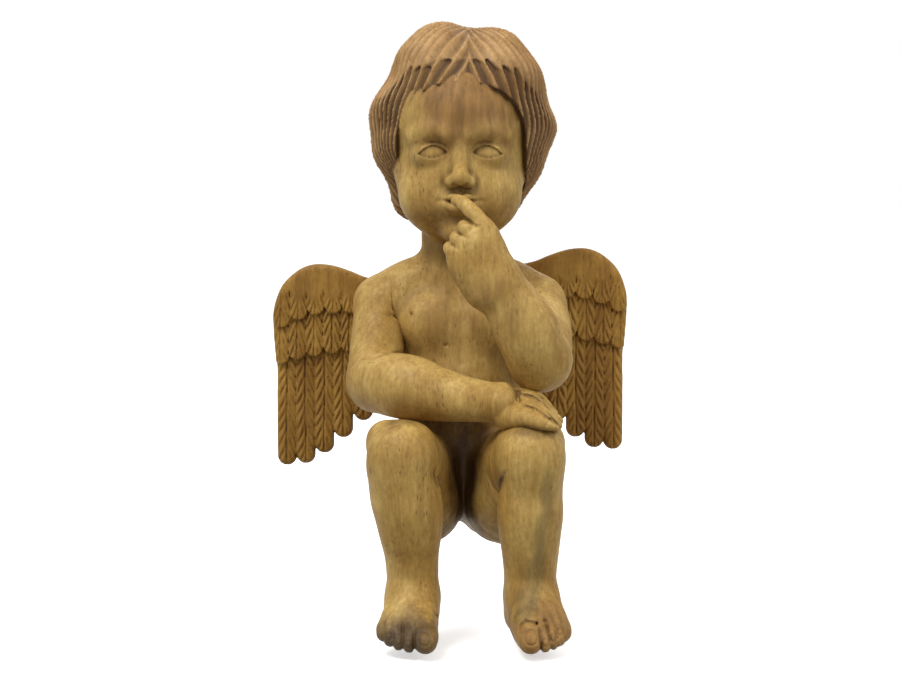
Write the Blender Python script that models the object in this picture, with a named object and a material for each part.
"""Seated winged figurine, carved in wood, built up from glued blocks, with two plug-in wings.

Lengths are in millimetres and are turned into metres by MM. The figure faces -Y, its own left
is +X, and the shelf that it sits on is the plane z = 0, with the lower legs hanging in front of it.
Every carved block is roughed out from balls and tapering limbs, fused by a voxel remesh, smoothed
and thinned out. The blocks are then cut at their glue faces, trimmed clear of their neighbours and
bored for their dowels.
"""

import math

import bmesh
import bpy
from mathutils import Matrix, Vector

MM = 0.001

# ---- Driving dimensions ------------------------------------------------------------------------
VOXEL = 3.0                # grid of the remesh that fuses a block's forms
GAP = 0.4                  # glue line, or clearance, between two neighbouring blocks
HOLE_PLAY = 0.3            # dowel hole radius over dowel radius
SEAT_Z = 0.0               # the planed underside that rests on a shelf
KNEE_GLUE_Y = -86.0        # glue face between a thigh and its lower leg block
NECK_GLUE = (0.0, 0.0, 232.0)
NECK_TILT = 30.0           # degrees, the neck's glue face drops towards the front
SHOULDER_GLUE_X = 55.0     # glue face between the trunk and an arm block
WING_SEAT_Y = 38.0         # planed face on the back that the wings bear on
WING_THICK = 14.0
WING_SHIFT = (16.0, 15.0)  # the left wing sits this much further in, and higher, than the right
DOWEL_R = 5.0
PEG_R = 4.0
PEG_IN_BACK = 22.0
PEG_IN_WING = 9.0
WING_PEG_X = 38.0
WING_PEG_Z = (163.0, 192.0)

# Shared joints of the limbs, as x, y, z, radius.
HIP = (33.0, 4.0, 38.0, 39.0)
RIGHT_KNEE = (-46.0, -113.0, 87.0, 27.0)
LEFT_KNEE = (54.0, -113.0, 87.0, 27.0)
RIGHT_SHOULDER = (-65.0, 2.0, 193.0, 23.0)
LEFT_SHOULDER = (65.0, 2.0, 193.0, 23.0)

# ---- Colours ------------------------------------------------------------------------------------
BODY_WOOD = ("body_wood", (0.42, 0.28, 0.12), 0.62)
HAIR_WOOD = ("hair_wood", (0.30, 0.17, 0.07), 0.66)
WING_WOOD = ("wing_wood", (0.32, 0.18, 0.06), 0.66)
DOWEL_WOOD = ("dowel_wood", (0.55, 0.40, 0.22), 0.70)


def clear_scene():
    for obj in list(bpy.data.objects):
        bpy.data.objects.remove(obj)


def wood(name, colour, roughness):
    """The named wood, made once."""
    material = bpy.data.materials.get(name)
    if material is None:
        material = bpy.data.materials.new(name)
        material.use_nodes = True
        shader = material.node_tree.nodes["Principled BSDF"]
        shader.inputs["Base Color"].default_value = (*colour, 1.0)
        shader.inputs["Roughness"].default_value = roughness
        shader.inputs["Metallic"].default_value = 0.0
    return material


def add_object(name, bm, finish=None):
    """Turns a bmesh in millimetres into an object in metres."""
    bmesh.ops.scale(bm, vec=(MM, MM, MM), verts=bm.verts)
    bmesh.ops.recalc_face_normals(bm, faces=bm.faces)
    mesh = bpy.data.meshes.new(name)
    bm.to_mesh(mesh)
    bm.free()
    obj = bpy.data.objects.new(name, mesh)
    bpy.context.scene.collection.objects.link(obj)
    if finish:
        mesh.materials.append(wood(*finish))
    return obj


def as_helper(obj):
    """Marks a cutter, which shapes its neighbours and isn't a part."""
    obj.hide_render = True
    obj.display_type = "WIRE"
    return obj


# ---- Rough forms --------------------------------------------------------------------------------
def ball(bm, centre, radii, turn=(0.0, 0.0, 0.0)):
    """An ellipsoid; turn is its rotation about x, y and z in degrees."""
    spin = Matrix.Identity(4)
    for angle, axis in zip(turn, "XYZ"):
        spin = Matrix.Rotation(math.radians(angle), 4, axis) @ spin
    place = Matrix.Translation(centre) @ spin @ Matrix.Diagonal((*radii, 1.0))
    bmesh.ops.create_icosphere(bm, subdivisions=3, radius=1.0, matrix=place)


def limb(bm, *stations):
    """Tapering round segments from station to station, each station an x, y, z and radius."""
    for start, end in zip(stations, stations[1:]):
        segment = bmesh.new()
        for x, y, z, radius in (start, end):
            place = Matrix.Translation((x, y, z))
            bmesh.ops.create_icosphere(segment, subdivisions=3, radius=radius, matrix=place)
        bmesh.ops.delete(segment, geom=segment.faces[:], context="FACES_ONLY")
        bmesh.ops.delete(segment, geom=segment.edges[:], context="EDGES_FACES")
        hull = bmesh.ops.convex_hull(segment, input=segment.verts[:])
        inside = [v for v in hull["geom_interior"] if isinstance(v, bmesh.types.BMVert)]
        bmesh.ops.delete(segment, geom=inside, context="VERTS")
        loose = bpy.data.meshes.new("segment")
        segment.to_mesh(loose)
        segment.free()
        bm.from_mesh(loose)
        bpy.data.meshes.remove(loose)


def carve(name, bm, finish, keep, voxel=VOXEL, smoothing=4):
    """Fuses the rough forms into one skin; keep is the share of its faces that thinning leaves."""
    obj = add_object(name, bm, finish)
    fuse = obj.modifiers.new("fuse", "REMESH")
    fuse.mode = "VOXEL"
    fuse.voxel_size = voxel * MM
    soften = obj.modifiers.new("soften", "SMOOTH")
    soften.factor = 0.5
    soften.iterations = smoothing
    thin = obj.modifiers.new("thin", "DECIMATE")
    thin.ratio = keep
    return obj


def bake(obj):
    """Replaces an object's mesh by its evaluated one, without any chip that a cut broke off it."""
    graph = bpy.context.evaluated_depsgraph_get()
    mesh = bpy.data.meshes.new_from_object(obj.evaluated_get(graph))
    bm = bmesh.new()
    bm.from_mesh(mesh)
    bmesh.ops.dissolve_degenerate(bm, dist=0.02 * MM, edges=bm.edges)
    unseen, islands = set(bm.verts), []
    while unseen:
        start = unseen.pop()
        island, edge_of = {start}, [start]
        while edge_of:
            for edge in edge_of.pop().link_edges:
                for vert in edge.verts:
                    if vert not in island:
                        island.add(vert)
                        edge_of.append(vert)
        unseen -= island
        islands.append(island)
    islands.sort(key=len)
    for chip in islands[:-1]:
        bmesh.ops.delete(bm, geom=list(chip), context="VERTS")
    bmesh.ops.triangulate(bm, faces=bm.faces)
    bm.to_mesh(mesh)
    bm.free()
    obj.modifiers.clear()
    obj.data = mesh
    return obj


# ---- Cutters ------------------------------------------------------------------------------------
def box_cutter(name, centre, size, tilt=0.0, axis="X"):
    """A box of the given full size, turned by tilt degrees about an axis through its centre."""
    bm = bmesh.new()
    place = Matrix.Translation(centre) @ Matrix.Rotation(math.radians(tilt), 4, axis)
    bmesh.ops.create_cube(bm, size=1.0, matrix=place @ Matrix.Diagonal((*size, 1.0)))
    return as_helper(add_object(name, bm))


def half_space(name, point, tilt, axis, side, reach=(200.0, 200.0, 200.0)):
    """A box whose one face passes through point. Untilted, that face looks along side."""
    turn = Matrix.Rotation(math.radians(tilt), 4, axis)
    back = Vector(side) * -0.5
    size = Vector(reach)
    bm = bmesh.new()
    place = Matrix.Translation(point) @ turn @ Matrix.Diagonal((*size, 1.0)) @ Matrix.Translation(back)
    bmesh.ops.create_cube(bm, size=1.0, matrix=place)
    return as_helper(add_object(name, bm))


def clearance_of(obj):
    """A cutter that is the object's skin, moved out by the gap."""
    cutter = as_helper(obj.copy())
    cutter.name = "clear_of_" + obj.name
    bpy.context.scene.collection.objects.link(cutter)
    grow = cutter.modifiers.new("grow", "DISPLACE")
    grow.mid_level = 0.0
    grow.strength = GAP * MM
    return cutter


def cut(obj, cutter):
    step = obj.modifiers.new("cut_" + cutter.name, "BOOLEAN")
    step.operation = "DIFFERENCE"
    step.solver = "EXACT"
    step.object = cutter


def rod(name, start, direction, length, radius, finish=None, sides=20):
    """A plain round rod from start along direction."""
    along = Vector(direction).normalized()
    middle = Vector(start) + along * (length / 2)
    turn = along.to_track_quat("Z", "Y").to_matrix().to_4x4()
    bm = bmesh.new()
    bmesh.ops.create_cone(
        bm, cap_ends=True, segments=sides, radius1=radius, radius2=radius, depth=length,
        matrix=Matrix.Translation(middle) @ turn,
    )
    obj = add_object(name, bm, finish)
    obj.data.shade_smooth()
    obj.data.set_sharp_from_angle(angle=math.radians(40))
    return obj


def dowel(name, centre, direction, reach_back, reach_on, radius, blocks):
    """A dowel through a glue face at centre, and its hole in each of the blocks."""
    along = Vector(direction).normalized()
    start = Vector(centre) - along * reach_back
    length = reach_back + reach_on
    rod(name, start, along, length, radius, DOWEL_WOOD)
    hole_start = start - along * HOLE_PLAY
    hole = rod("hole_" + name, hole_start, along, length + 2 * HOLE_PLAY, radius + HOLE_PLAY)
    as_helper(hole)
    for block in blocks:
        cut(block, hole)
    return along


# ---- The carved blocks --------------------------------------------------------------------------
def make_torso():
    bm = bmesh.new()
    ball(bm, (0, 0, 172), (54, 38, 50))                        # rib cage
    ball(bm, (0, -7, 108), (52, 42, 54))                       # belly
    ball(bm, (0, 5, 46), (59, 46, 53))                         # hips
    limb(bm, (-8, 0, 160, 38), (-10, 2, 80, 44))               # waist
    limb(bm, (8, 0, 160, 38), (10, 2, 80, 44))
    for side in (-1, 1):
        limb(bm, (side * 16, 4, 216, 21), (side * 60, 2, 194, 23))    # neck root to shoulder
        ball(bm, (side * 25, -24, 180), (25, 14, 18))          # breast
        limb(bm, (side * 36, 22, 196, 18), (side * 37, 22, 161, 18))      # shoulder blade, a wing's seat
        ball(bm, (side * 31, 14, 34), (34, 42, 40))            # buttock
    limb(bm, (0, 3, 205, 31), (0, 3, 240, 31))                 # neck root
    hip_x, hip_y, hip_z, hip_r = HIP
    limb(bm, (-hip_x, hip_y, hip_z, hip_r), (-38, -50, 58, 36), RIGHT_KNEE)
    limb(bm, (hip_x, hip_y, hip_z, hip_r), (43, -50, 58, 36), LEFT_KNEE)
    return carve("torso", bm, BODY_WOOD, keep=0.075)


def make_head():
    bm = bmesh.new()
    ball(bm, (0, 6, 340), (71, 73, 75))                        # hair over the skull
    ball(bm, (0, 14, 318), (65, 63, 76))                       # hair down to the nape
    for side in (-1, 1):
        limb(bm, (side * 14, 0, 405, 18), (side * 40, 0, 387, 22), (side * 58, 4, 347, 19),
             (side * 53, 8, 296, 17), (side * 36, 20, 262, 15))       # hair lobes beside the parting
        limb(bm, (side * 14, -46, 386, 11), (side * 36, -38, 379, 12), (side * 53, -20, 356, 12))
        ball(bm, (side * 22, -38, 276), (27, 25, 27))          # cheek
        limb(bm, (side * 9, -67, 282, 5), (0, -70, 284, 5))    # lips
    ball(bm, (0, -18, 334), (52, 51, 50))                      # forehead
    ball(bm, (0, -22, 290), (49, 42, 48))                      # face
    ball(bm, (0, -49, 254), (15, 13, 11))                      # chin
    limb(bm, (0, -66, 312, 5), (0, -74, 298, 7))               # nose
    limb(bm, (0, 5, 215, 31), (0, 6, 268, 31))                 # neck
    return carve("head", bm, HAIR_WOOD, keep=0.06)


def make_right_arm():
    bm = bmesh.new()
    limb(bm, RIGHT_SHOULDER, (-66.5, -8, 168, 20.5), (-68, -44, 135, 23), (-46, -66, 132, 25),
         (-20, -80, 127, 21), (6, -92, 123.5, 15.5), (26, -101, 121, 14.5))
    limb(bm, (26, -101, 121, 14.5), (46, -108, 119, 12))       # wrist to palm
    ball(bm, (44, -106, 120), (20, 21, 10), turn=(-14, 12, 0))
    limb(bm, (36, -122, 111, 8.5), (56, -131, 108, 7.5), (68, -132, 106, 6.5))      # thumb
    for number in range(4):                                    # fingers, from the index back
        y = -122 + 10 * number
        z = 116.5 + 3.2 * number
        limb(bm, (46, y, z, 6.5), (62, y - 1, z - 1, 6), (74 - number, y - 2, z - 8, 5.5))
    return carve("right_arm", bm, BODY_WOOD, keep=0.11, voxel=2.5, smoothing=3)


def make_left_arm():
    bm = bmesh.new()
    limb(bm, LEFT_SHOULDER, (70, -26, 176, 21.5), (64, -86, 153, 22.5), (50, -92, 182, 23.5),
         (35, -94, 206, 20.5), (22, -94, 223, 21))
    ball(bm, (13, -92, 236), (23, 15, 23))                     # back of the hand
    limb(bm, (19, -93, 256, 9), (10, -93, 268, 7.5), (0, -84, 277, 6.5))   # index finger
    for number in range(3):                                    # curled fingers
        limb(bm, (12 - 5 * number, -94, 254 - 9 * number, 8), (1.5 - 5.5 * number, -94, 256.5 - 7.5 * number, 6),
             (4 - 5 * number, -80, 253 - 7.5 * number, 6))
    limb(bm, (22, -84, 240, 9), (8, -78, 250, 7))              # thumb, tucked behind
    return carve("left_arm", bm, BODY_WOOD, keep=0.11, voxel=2.5, smoothing=3)


def make_lower_leg(name, knee, stations, heel, toe_angle):
    """A knee, shin and foot. toe_angle turns the toes out, in degrees about the vertical."""
    bm = bmesh.new()
    limb(bm, knee, *stations)
    ankle = stations[-1]
    limb(bm, ankle, heel)
    turn = Matrix.Rotation(math.radians(toe_angle), 4, "Z")
    inner = 1 if knee[0] < 0 else -1                           # the big toe's side
    origin = Vector((ankle[0], ankle[1], 0))

    def on_foot(x, y, z, radius):
        point = origin + turn @ Vector((inner * x, y, 0))
        return (point.x, point.y, z, radius)

    limb(bm, ankle, on_foot(2, -20, -40, 17), on_foot(6, -34, -50, 13))
    limb(bm, heel, on_foot(4, -40, -54, 12))
    limb(bm, on_foot(-2, -18, -44, 16), on_foot(-10, -32, -52, 11))
    toes = ((14, -46, 9.0), (3, -47, 6.5), (-5, -44, 6.0), (-12.5, -41, 5.7), (-19, -37, 5.5))
    for x, y, radius in toes:
        limb(bm, on_foot(x * 0.8, -32, -51, radius + 1.5), on_foot(x, y, -66.5 + radius, radius))
    return carve(name, bm, BODY_WOOD, keep=0.11, voxel=2.5, smoothing=3)


def feather_tips(tips, steps=6):
    """A scalloped edge: one half-round bulge for each pair of neighbouring notches and its tip."""
    points = []
    for (x0, z0), (x1, z1), (tip_x, tip_z) in tips:
        for step in range(steps):
            share = step / steps
            angle = math.pi * share
            x = x0 + (x1 - x0) * (1 - math.cos(angle)) / 2
            base = z0 + (z1 - z0) * share
            lean = (tip_x - (x0 + x1) / 2) * math.sin(angle)
            drop = (tip_z - (z0 + z1) / 2) * math.sin(angle)
            points.append((x + lean * 0.2, base + drop))
    return points


def wing_outline():
    """The right wing's edge, going from its inner top round its outer side to its inner bottom."""
    top = [(-24, 205), (-40, 212), (-60, 212), (-80, 213), (-96, 217.5), (-112, 220.3), (-126, 219),
           (-138, 213.5), (-147.5, 205), (-154, 193), (-157, 180), (-157, 165), (-155.5, 148)]
    outer = [(-154, 130), (-154, 100), (-154.2, 76)]
    notches = [(-154, 70), (-137.8, 57), (-121, 62), (-105.9, 76), (-90, 92), (-72, 100), (-55, 118),
               (-38, 134)]
    tips = [(-146, 49.5), (-130.5, 51), (-114, 60), (-98.5, 73), (-81, 87.5), (-64, 99), (-46, 116)]
    return top + outer + feather_tips(list(zip(notches, notches[1:], tips))) + [(-30, 150), (-22, 175)]


def make_wing(name, mirror, shift):
    """A flat carved board with a raised shoulder band; mirror is -1 for the left wing."""
    bm = bmesh.new()
    front, back = WING_SEAT_Y + GAP, WING_SEAT_Y + GAP + WING_THICK
    ring = [bm.verts.new((mirror * x + shift[0], back, z + shift[1])) for x, z in wing_outline()]
    face = bm.faces.new(ring)
    grown = bmesh.ops.extrude_face_region(bm, geom=[face])
    moved = [v for v in grown["geom"] if isinstance(v, bmesh.types.BMVert)]
    bmesh.ops.translate(bm, verts=moved, vec=(0, front - back, 0))
    obj = add_object(name, bm, WING_WOOD)
    round_edge = obj.modifiers.new("round_edge", "BEVEL")
    round_edge.width = 2.5 * MM
    round_edge.segments = 2
    round_edge.limit_method = "ANGLE"
    round_edge.angle_limit = math.radians(50)
    return obj


# ---- Assembly -----------------------------------------------------------------------------------
def cut_glue_faces(torso, head, arms, legs):
    """Cuts each pair of glued blocks at its shared plane, leaving the glue line between them."""
    cut(torso, half_space("above_neck", NECK_GLUE, NECK_TILT, "X", (0, 0, -1)))
    lifted = (NECK_GLUE[0], NECK_GLUE[1], NECK_GLUE[2] + GAP)
    cut(head, half_space("below_neck", lifted, NECK_TILT, "X", (0, 0, 1)))
    cut(torso, half_space("below_seat", (0, 0, SEAT_Z), 0, "X", (0, 0, 1)))
    cut(torso, half_space("behind_wing_seats", (0, WING_SEAT_Y, 185), 0, "X", (0, -1, 0), (160, 60, 110)))
    cut(torso, half_space("before_knees", (0, KNEE_GLUE_Y, 60), 0, "X", (0, 1, 0), (240, 200, 200)))
    for leg in legs:
        face = (0, KNEE_GLUE_Y - GAP, 84)
        cut(leg, half_space("behind_" + leg.name, face, 0, "X", (0, -1, 0), (240, 60, 80)))
    for side, arm in zip((-1, 1), arms):
        face = (side * SHOULDER_GLUE_X, 0, 200)
        cut(torso, half_space("outside_" + arm.name, face, 0, "X", (-side, 0, 0), (60, 90, 60)))
        face = (side * (SHOULDER_GLUE_X + GAP), 8, 200)
        cut(arm, half_space("inside_" + arm.name, face, 0, "X", (side, 0, 0), (60, 64, 70)))


def main():
    clear_scene()
    torso = make_torso()
    head = make_head()
    right_arm = make_right_arm()
    left_arm = make_left_arm()
    right_leg = make_lower_leg(
        "right_lower_leg", RIGHT_KNEE,
        [(-44, -113, 62, 27), (-41, -112, 40, 26), (-38.5, -109, 15, 22.5), (-37, -106, -8, 19.5),
         (-36.5, -104, -26, 19.5)],
        (-36, -95, -43, 18), -5)
    left_leg = make_lower_leg(
        "left_lower_leg", LEFT_KNEE,
        [(54.5, -113, 62, 26), (54.5, -112, 40, 25.5), (54.7, -109, 15, 22.5), (54.8, -106, -8, 20),
         (55, -104, -26, 20)],
        (54, -95, -43, 18), 10)
    blocks = (torso, head, right_arm, left_arm, right_leg, left_leg)
    for block in blocks:
        bake(block)
    cut_glue_faces(torso, head, (right_arm, left_arm), (right_leg, left_leg))
    for block in blocks:
        bake(block)

    # Each block that leans on another is relieved to clear it.
    for block, others in (
        (right_leg, (torso,)), (left_leg, (torso,)), (right_arm, (torso, left_leg)),
        (left_arm, (torso, right_arm, head)),
    ):
        for other in others:
            cut(block, clearance_of(other))
        bake(block)

    right_wing = make_wing("right_wing", 1, (0, 0))
    left_wing = make_wing("left_wing", -1, (-WING_SHIFT[0], WING_SHIFT[1]))

    square_to_neck = (0, -math.sin(math.radians(NECK_TILT)), math.cos(math.radians(NECK_TILT)))
    dowel("neck_dowel", (0, 3, NECK_GLUE[2] + 2), square_to_neck, 18, 20, DOWEL_R + 1, (torso, head))
    for side, name, arm, leg, wing in (
        (-1, "right", right_arm, right_leg, right_wing), (1, "left", left_arm, left_leg, left_wing),
    ):
        dowel(name + "_shoulder_dowel", (side * SHOULDER_GLUE_X, 3, 195), (side, 0, 0), 16, 14,
              DOWEL_R, (torso, arm))
        knee_x = RIGHT_KNEE[0] if side < 0 else LEFT_KNEE[0]
        dowel(name + "_knee_dowel", (knee_x, KNEE_GLUE_Y, 78), (0, -1, 0), 16, 14, DOWEL_R, (torso, leg))
        for place, z in (("upper", WING_PEG_Z[1]), ("lower", WING_PEG_Z[0])):
            dowel(f"{name}_wing_peg_{place}", (side * WING_PEG_X, WING_SEAT_Y + GAP, z), (0, 1, 0),
                  PEG_IN_BACK, PEG_IN_WING, PEG_R, (torso, wing))


main()
